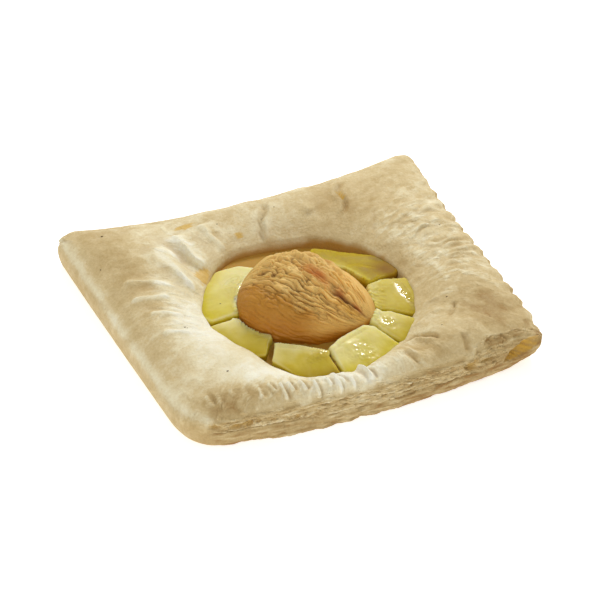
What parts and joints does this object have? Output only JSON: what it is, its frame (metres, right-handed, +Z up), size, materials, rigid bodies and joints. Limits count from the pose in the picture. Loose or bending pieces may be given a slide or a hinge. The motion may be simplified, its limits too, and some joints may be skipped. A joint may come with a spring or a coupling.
{
  "type": "puff pastry square with fruit and nut",
  "caption": "Near-square puff pastry with a flaky side, a scalloped edge and a round well that holds glossy fruit pieces in syrup round a large wrinkled nut.",
  "frame": {"origin": "on the surface that the pastry rests on, under the middle of its box", "axes": "+Z up, +X to the right along the front edge, +Y from the front edge to the back"},
  "size_m": [0.1014, 0.0898, 0.0199],
  "materials": {
    "crust": "matte",
    "nut_skin": "matte",
    "fruit": "gloss",
    "syrup": "gloss"
  },
  "bodies": {
    "root": {"pastry": "crust", "nut": "nut_skin", "fruit_1": "fruit", "fruit_2": "fruit", "fruit_3": "fruit", "fruit_4": "fruit", "fruit_5": "fruit", "fruit_6": "fruit", "fruit_7": "fruit", "syrup": "syrup"}
  },
  "joints": []
}
